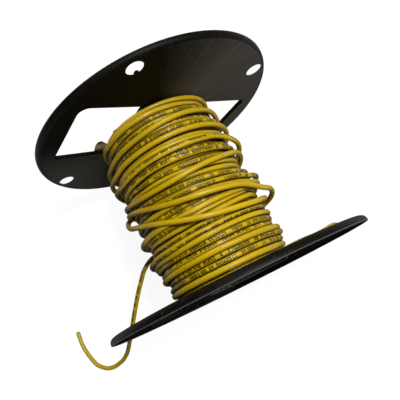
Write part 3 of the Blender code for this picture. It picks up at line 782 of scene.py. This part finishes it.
def as_seen(angles, places, radii):
    """Where points of the strand appear on the cylinder that its lines were read on."""
    eye_place, eye_side, eye_up = CAMERA_PLACE - AXIS + Vector((HALF_WIDTH, 0.0, 0.0))
    across = radii * np.sin(angles) - eye_side
    up = radii * np.cos(angles) - eye_up
    square = across ** 2 + up ** 2
    half = eye_side * across + eye_up * up
    rest = eye_side ** 2 + eye_up ** 2 - SEEN_RADIUS ** 2
    reach = (-half - np.sqrt(np.clip(half ** 2 - square * rest, 0, None))) / square
    seen_angles = np.arctan2(eye_side + reach * across, eye_up + reach * up)
    return np.degrees(seen_angles), eye_place + reach * (places - eye_place)


def settle(places, base, least, order, count):
    """Radii at which each turn lies on those wound before it, apart from where they stand off."""
    radii = base.copy()
    lifted = np.zeros(count, dtype=bool)
    settled = []
    for number in order:
        first = number * STATIONS
        length = min(STATIONS, count - first)
        height = base[first:first + length].copy()
        for other, other_length in settled:
            shared = min(length, other_length)
            mine, theirs = slice(first, first + shared), slice(other, other + shared)
            apart = np.abs(places[mine] - places[theirs])
            beside = np.sqrt(np.clip(CONTACT ** 2 - apart ** 2, 0, None))
            touching = (apart < CONTACT) & ~lifted[theirs]
            rest = np.where(touching, radii[theirs] + beside, 0)
            height[:shared] = np.maximum(height[:shared], rest)
        turn = slice(first, first + length)
        radii[turn] = height
        lifted[turn] = least[turn] > height + WIRE_DIAMETER
        settled.append((first, length))
    return np.maximum(radii, smooth(widest(radii, 2), 2.5))


def strand():
    """The wound wire from the near flange to the free end: angles, places, radii, print."""
    layer_count = int(LAYER_TURNS * STATIONS)
    last_row = len(WOUND) + len(CROSSINGS) - 1
    count = last_row * STATIONS + FIRST_TOP + ceil(LEAVE_TURN / STEP) + 1
    index = np.arange(count)
    angles = LAYER_START + index * STEP
    angles[-1] = LAYER_START + (last_row * STATIONS + FIRST_TOP) * STEP + LEAVE_TURN
    from_top = np.degrees((angles + pi) % (2 * pi) - pi)
    tops = np.arange(last_row + 1) * STATIONS + FIRST_TOP
    row = np.clip(np.round((index - FIRST_TOP) / STATIONS).astype(int), 0, last_row)
    lines = [turn[3] for turn in WOUND] + [turn[2] for turn in CROSSINGS]
    limits = [SEEN_LIMIT] * len(WOUND) + [LOOSE_LIMIT] * len(CROSSINGS)
    seen = np.abs(from_top) <= np.array(limits)[row]

    def read(degrees):
        """Place on its own row's line, at degrees from the top."""
        value = np.zeros(count)
        for number, line in enumerate(lines):
            mine = row == number
            value[mine] = np.interp(degrees[mine], *zip(*line)) * MM
        return value

    least = np.zeros(count)
    for number, turn in enumerate(CROSSINGS):
        from_own_top = (index - tops[len(WOUND) + number]) * 360 / STATIONS
        stand = np.interp(from_own_top, *zip(*turn[3]), left=0.0, right=0.0) * MM
        least = np.maximum(least, stand)
    places = read(from_top)
    radii = swell(places, angles)
    raised = [number for number, turn in enumerate(WOUND) if turn[0]]
    lower = [number for number in range(len(WOUND)) if number not in raised]
    order = lower + raised + list(range(len(WOUND), last_row + 1))
    for _ in range(PARALLAX_ROUNDS):
        for _ in range(SHIFT_ROUNDS):
            degrees, apparent = as_seen(angles, places, radii)
            places = np.where(seen, places + read(degrees) - apparent, places)
        places = join_turns(places, index, row, seen, tops, layer_count)
        radii = settle(places, swell(places, angles), least, order, count)
        for number, degrees, half, height in BULGES:
            middle = tops[number] + radians(degrees) / STEP
            away = np.abs(index - middle) / (radians(half) / STEP)
            radii = radii + height * MM * (1 + np.cos(pi * np.clip(away, 0, 1))) / 2
        bridged = np.maximum(smooth(widest(radii, 3), 3.0), radii)
        radii = np.where(index >= layer_count, np.maximum(bridged, least), radii)
        radii = np.where(index >= layer_count, smooth(radii, 2.6), smooth(radii, 1.2))
    for away, radius in ((index / START_STATIONS, LAYER_END_RADIUS),
                         ((count - 1 - index) / END_STATIONS, LEAVE_RADIUS)):
        share = np.clip(1 - away, 0, 1)
        radii = radii * (1 - share) + radius * share

    prints = [turn[1:3] for turn in WOUND] + [turn[:2] for turn in CROSSINGS]
    facing = np.zeros(count)
    for number, (left, right) in enumerate(prints):
        mine = row == number
        facing[mine] = np.interp(from_top[mine], (-PRINT_LIMIT, PRINT_LIMIT), (left, right))
    lean = np.degrees(np.arctan2(CAMERA_PLACE.x + HALF_WIDTH - places,
                                 CAMERA_PLACE.z - AXIS.z - radii))
    facing = np.where(facing < TURNED_AWAY, facing + lean, facing)
    return angles, places, radii, smooth(np.radians(facing), 3.0), layer_count


def join_turns(places, index, row, seen, tops, layer_count):
    """Fill in the places between the seen stretches of a turn and the next."""
    knots = [(0, LAYER_NEAR)]
    for number, top in enumerate(tops):
        inside_turn = index[seen & (row == number)]
        knots += [(station, places[station]) for station in inside_turn]
        if number == len(WOUND) - 1:
            knots += [(layer_count, LAYER_FAR), (layer_count + 8, LAYER_FAR + 0.5 * MM),
                      (layer_count + 13, LAYER_FAR + 3.0 * MM)]
        if number >= len(WOUND):
            line = CROSSINGS[number - len(WOUND)][2]
            knots += [(top + radians(degrees) / STEP, place * MM)
                      for degrees, place in line if abs(degrees) > LOOSE_LIMIT]
    knots.append((index[-1], LEAVE_PLACE))
    knots.sort()
    joined = np.interp(index, *zip(*knots))
    softened = smooth(joined, 2.0)
    return np.where(index >= layer_count, softened, np.where(seen, joined, softened))


def lengths_along(line):
    return np.concatenate([[0.0], np.cumsum(np.linalg.norm(np.diff(line, axis=0), axis=1))])


def unit(rows):
    return rows / np.linalg.norm(rows, axis=1)[:, None]


def tube_mesh(name, points, outward, turned_by, material, radius=WIRE_RADIUS, sides=WIRE_SIDES):
    """Wire along points, with a UV map: metres along it, and share of a turn around it."""
    line = np.array(points)
    tangents = unit(np.gradient(line, axis=0))
    outward = np.array(outward)
    outward = unit(outward - (outward * tangents).sum(1)[:, None] * tangents)
    sideways = np.cross(tangents, outward)
    lengths = lengths_along(line)
    bm = bmesh.new()
    layer = bm.loops.layers.uv.new("wire")
    rings = []
    for centre, out, side in zip(line, outward, sideways):
        rings.append([
            bm.verts.new(centre + radius * (cos(angle) * out + sin(angle) * side))
            for angle in (2 * pi * step / sides for step in range(sides))
        ])
    for number in range(len(rings) - 1):
        one, other = rings[number], rings[number + 1]
        for step in range(sides):
            following = (step + 1) % sides
            face = bm.faces.new((one[step], one[following], other[following], other[step]))
            corners = ((number, step), (number, step + 1), (number + 1, step + 1),
                       (number + 1, step))
            for loop, (station, place) in zip(face.loops, corners):
                around = place / sides - turned_by[station] / (2 * pi) + 0.5
                loop[layer].uv = (lengths[station], around)
    for ring in (rings[0], rings[-1]):
        cap = bm.faces.new(ring)
        for loop in cap.loops:
            loop[layer].uv = (0.0, 0.0)
    bmesh.ops.recalc_face_normals(bm, faces=bm.faces)
    return add_mesh(name, bm, material, 60.0)


def wound_piece(name, angles, places, radii, turned_by, material, sides=WIRE_SIDES):
    points = [spool_point(*item) for item in zip(places, radii, angles)]
    outward = [(0.0, sin(angle), cos(angle)) for angle in angles]
    return tube_mesh(name, points, outward, turned_by, material, sides=sides)


LOWER_TURNS = 32.5
LOWER_COUNT = int(LOWER_TURNS * 48)
LOWER_MARGIN = 2.4 * MM               # from each flange
LOWER_DEPTH = 3.35 * MM
LOWER_LEAST = CORE_RADIUS + WIRE_RADIUS + 0.1 * MM
LOWER_SIDES = 10


def make_lower_layer(material):
    """The layer under the wound one, half a turn's width along from it."""
    angles = pi + np.linspace(0.0, LOWER_TURNS * 2 * pi, LOWER_COUNT)
    places = np.linspace(LOWER_MARGIN, INSIDE_WIDTH - LOWER_MARGIN, LOWER_COUNT)
    radii = np.maximum(swell(places, angles) - LOWER_DEPTH, LOWER_LEAST)
    turned_by = np.full(LOWER_COUNT, pi)
    return wound_piece("lower_layer", angles, places, radii, turned_by, material, LOWER_SIDES)


CURVE_PARTS = 16


def smooth_route(points, spacing):
    """Even steps along a Catmull-Rom curve through the points."""
    padded = [2 * points[0] - points[1], *points, 2 * points[-1] - points[-2]]
    fine = []
    for before, first, second, after in zip(padded, padded[1:], padded[2:], padded[3:]):
        for step in range(CURVE_PARTS):
            t = step / CURVE_PARTS
            fine.append(0.5 * (
                2 * first + (second - before) * t
                + (2 * before - 5 * first + 4 * second - after) * t ** 2
                + (3 * first - before - 3 * second + after) * t ** 3
            ))
    fine.append(points[-1].copy())
    line = np.array(fine)
    lengths = lengths_along(line)
    steps = np.linspace(0.0, lengths[-1], max(2, round(lengths[-1] / spacing)) + 1)
    spread = np.stack([np.interp(steps, lengths, line[:, axis]) for axis in range(3)], axis=1)
    return [Vector(point) for point in spread]


# Slack turn on the near flange: degrees from the top, mm out from the core, mm off the face
SLACK_CLEAR = 0.3 * MM
SLACK_ROUTE = (
    (168.3, 9.3, 2.2), (150.1, 20.2, 0.3), (136.8, 37.2, 0.3), (124.9, 47.2, 0.3),
    (113.6, 49.8, 1.0), (106.0, 47.6, 1.8), (99.0, 40.2, 1.9), (95.5, 32.2, 1.1),
    (92.0, 25.0, 0.9), (84.0, 20.0, 0.9), (72.0, 14.0, 0.7), (60.0, 8.8, 0.3),
)
SLACK_HUG_START = radians(52.0)
SLACK_HUG_END = radians(-128.0)
SLACK_HUG_STEPS = 12
SLACK_END_TURN = radians(-145.0)
SLACK_SPACING = 2.0 * MM


def make_slack_turn(start, material):
    face = INSIDE_WIDTH - WIRE_RADIUS
    middle = [spool_point(face - clear * MM, CORE_RADIUS + out * MM, radians(degrees))
              for degrees, out, clear in SLACK_ROUTE]
    place = face - SLACK_CLEAR
    hug = [spool_point(place, LAYER_END_RADIUS, angle)
           for angle in np.linspace(SLACK_HUG_START, SLACK_HUG_END, SLACK_HUG_STEPS + 1)]
    end = spool_point(place, LAYER_END_RADIUS - WIRE_RADIUS, SLACK_END_TURN)
    route = smooth_route([start, *middle, *hug, end], SLACK_SPACING)
    outward = [(-1.0, 0.0, 0.0)] * len(route)
    return tube_mesh("slack_wire", route, outward, [pi] * len(route), material)


# Free end, as it lies: the same points as the frame's
TAIL_ROUTE = (
    (12.0, -14.0, 43.1), (12.6, -31.0, 43.7), (15.7, -46.7, 44.6), (20.6, -55.0, 44.8),
    (26.1, -60.2, 44.0), (31.6, -65.2, 42.6), (37.1, -70.1, 40.2), (42.6, -75.1, 36.6),
    (48.2, -80.5, 31.5), (53.8, -86.4, 24.8), (59.6, -92.9, 16.8), (65.6, -99.7, 8.8),
    (68.3, -103.9, 4.8), (70.6, -108.6, 2.4), (72.0, -115.2, 1.7), (71.7, -120.1, 1.7),
    (69.9, -124.3, 1.7), (65.3, -129.2, 1.7), (60.4, -131.5, 1.7), (55.5, -133.1, 1.7),
    (50.7, -134.2, 1.7), (46.1, -134.9, 1.7), (41.8, -135.0, 1.7), (37.6, -134.8, 1.7),
    (34.8, -134.7, 1.7),
)
TAIL_START = Vector((12.2, 1.2, 43.2)) * MM
TAIL_SPACING = 1.5 * MM
TAIL_PRINT = 0.35            # radians from the wire's top; it turns further down by the floor
TAIL_PRINT_TURN = 2.2
TAIL_PRINT_HEIGHT = 12.0 * MM
CUT_START, CUT_LENGTH = 0.1 * MM, 0.25 * MM
UP = (0.0, 0.0, 1.0)


def make_free_end(jacket, copper):
    points = [TAIL_START, *(Vector(point) * MM for point in TAIL_ROUTE)]
    route = smooth_route(points, TAIL_SPACING)
    heights = np.array([point.z for point in route])
    low = np.clip(1 - (heights - WIRE_RADIUS) / TAIL_PRINT_HEIGHT, 0, 1)
    turned_by = TAIL_PRINT + TAIL_PRINT_TURN * low
    tail = tube_mesh("free_end", route, [UP] * len(route), turned_by, jacket)
    along = (route[-1] - route[-2]).normalized()
    end = route[-1] + along * CUT_START
    tip = [end, end + along * CUT_LENGTH]
    cut = tube_mesh("cut_conductor", tip, [UP] * 2, [0.0, 0.0], copper, CONDUCTOR_RADIUS, 24)
    return tail, cut, route


# ---- stage

FLOOR_SIZE = 3.0
FLOOR_COLOUR = (0.11, 0.108, 0.105)
FLOOR_GLOW = 0.93          # what the camera sees besides: the floor looks white
# Painted shadow: what gloss shows of the floor is dim beside the spool and bright beyond.
MIRRORED_NEAR = 0.02       # what gloss shows of it, beside the spool and beyond
MIRRORED_FAR = 0.75
NEAR_REACH, FAR_REACH = 0.12, 0.26
WORLD_LIGHT = 0.06


def make_floor():
    bm = bmesh.new()
    bmesh.ops.create_grid(bm, x_segments=2, y_segments=2, size=FLOOR_SIZE)
    mat = material_nodes("floor")
    mat.set(Base_Color=(*FLOOR_COLOUR, 1.0), Roughness=0.9)
    rays = mat.node("ShaderNodeLightPath").outputs
    mirrored = mat.math("MAXIMUM", rays["Is Glossy Ray"], rays["Is Transmission Ray"])
    x, y, _ = mat.split(mat.place())
    # Painted shadow in reflections: the glow that gloss sees is dimmed near the spool.
    gloss_glow_with_painted_shadow = mat.span(mat.length(x, y), NEAR_REACH, FAR_REACH, MIRRORED_NEAR, MIRRORED_FAR)
    strength = mat.math("MAXIMUM", mat.times(rays["Is Camera Ray"], FLOOR_GLOW),
                        mat.times(mirrored, gloss_glow_with_painted_shadow))
    glow = mat.node("ShaderNodeEmission", {"Strength": strength})
    both = mat.node("ShaderNodeAddShader", (mat.main.outputs[0], glow.outputs[0]))
    mat.link(both.outputs[0], mat.tree.nodes["Material Output"].inputs["Surface"])
    add_mesh("floor", bm, mat.owner)


def make_world():
    """A dim surround that lights, and a bright one that the camera sees."""
    sky = Nodes(bpy.data.worlds.new("studio"))
    bpy.context.scene.world = sky.owner
    lights = sky.tree.nodes["Background"]
    sky.link((1.0, 1.0, 1.0, 1.0), lights.inputs["Color"])
    sky.link(WORLD_LIGHT, lights.inputs["Strength"])
    seen = sky.node("ShaderNodeBackground", {"Strength": 1.0})
    rays = sky.node("ShaderNodeLightPath").outputs
    through = sky.math("MAXIMUM", rays["Is Camera Ray"], rays["Is Transmission Ray"])
    choose = sky.node("ShaderNodeMixShader", (through, lights.outputs[0], seen.outputs[0]))
    sky.link(choose.outputs[0], sky.tree.nodes["World Output"].inputs["Surface"])


# Lamps: name, place, what each points at, diameter, watts
LAMPS = (
    ("key", (0.02, 0.24, 0.86), (0.0, 0.0, 0.06), 0.16, 5.85),
    ("side", (-0.75, 0.05, 0.50), (0.0, 0.0, 0.12), 0.30, 2.0),
    ("fill", (0.20, 0.50, 0.60), (0.0, 0.0, 0.06), 0.35, 1.2),
)


def add_lamp(name, place, target, size, power):
    light = bpy.data.lights.new(name, "AREA")
    light.shape = "DISK"
    light.size = size
    light.energy = power
    item = add_object(name, light)
    item.location = place
    item.rotation_euler = (Vector(target) - Vector(place)).to_track_quat("-Z", "Y").to_euler()


# Camera: fitted to the photograph, in a 400-pixel square
CAMERA_PLACE = Vector((68.2, 0.0, 347.86)) * MM
SEEN_RIGHT = Vector((0.42663, 0.88683, -0.17754))
SEEN_DOWN = Vector((0.86308, -0.45788, -0.21315))
FOCAL_PIXELS = 423.75
CENTRE_PIXEL = (165.35, 203.2)
VIEW_SIZE = 400
SENSOR = 36.0


def make_camera():
    right = SEEN_RIGHT.normalized()
    back = SEEN_DOWN.cross(right).normalized()
    up = back.cross(right)
    data = bpy.data.cameras.new("view")
    data.sensor_width = SENSOR
    data.lens = SENSOR * FOCAL_PIXELS / VIEW_SIZE
    data.shift_x = (VIEW_SIZE / 2 - CENTRE_PIXEL[0]) / VIEW_SIZE
    data.shift_y = (CENTRE_PIXEL[1] - VIEW_SIZE / 2) / VIEW_SIZE
    data.clip_start = 0.01
    camera = add_object("view", data)
    turn = Matrix((right, up, back)).transposed().to_4x4()
    camera.matrix_world = Matrix.Translation(CAMERA_PLACE) @ turn
    bpy.context.scene.camera = camera


# ---- assembly

def keep(piece, slot, *nodes):
    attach(piece, "root")
    if nodes:
        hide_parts(*nodes)


def main():
    make_camera()
    jacket = jacket_material()
    copper = copper_material()
    tail, cut, route = make_free_end(jacket, copper)
    keep(tail, "wire_jacket", "wire_tail")
    keep(cut, "conductor_copper", "tail_conductor")

    angles, places, radii, turned_by, layer_count = strand()
    wound = slice(0, layer_count + 1)
    loose = slice(layer_count, None)
    layer = wound_piece("wound_wire", angles[wound], places[wound], radii[wound],
                        turned_by[wound], jacket)
    keep(layer, "wire_jacket", "outer_winding")
    crossing = wound_piece("loose_wire", angles[loose], places[loose], radii[loose],
                           turned_by[loose], jacket)
    keep(crossing, "wire_jacket", "loose_turns")
    keep(make_lower_layer(jacket), "wire_jacket", "inner_layers")
    start = spool_point(places[0], radii[0], angles[0])
    keep(make_slack_turn(start, jacket), "wire_jacket", "slack_turn")

    black = enamel_material()
    keep(make_flange("flange_far", -HALF_WIDTH, -1, black), "flange_black", "far_flange")
    keep(make_flange("flange_near", HALF_WIDTH, 1, black), "flange_black", "near_flange")
    keep(make_arbor(steel_material()), "arbor_steel", "arbor_tube")
    kraft = kraft_material()
    keep(make_core(kraft), "core_kraft", "core_tube")
    keep(make_flap(kraft), "core_kraft")
    make_floor()
    make_world()
    bpy.context.scene.view_settings.view_transform = "Standard"
    for lamp in LAMPS:
        add_lamp(*lamp)


main()
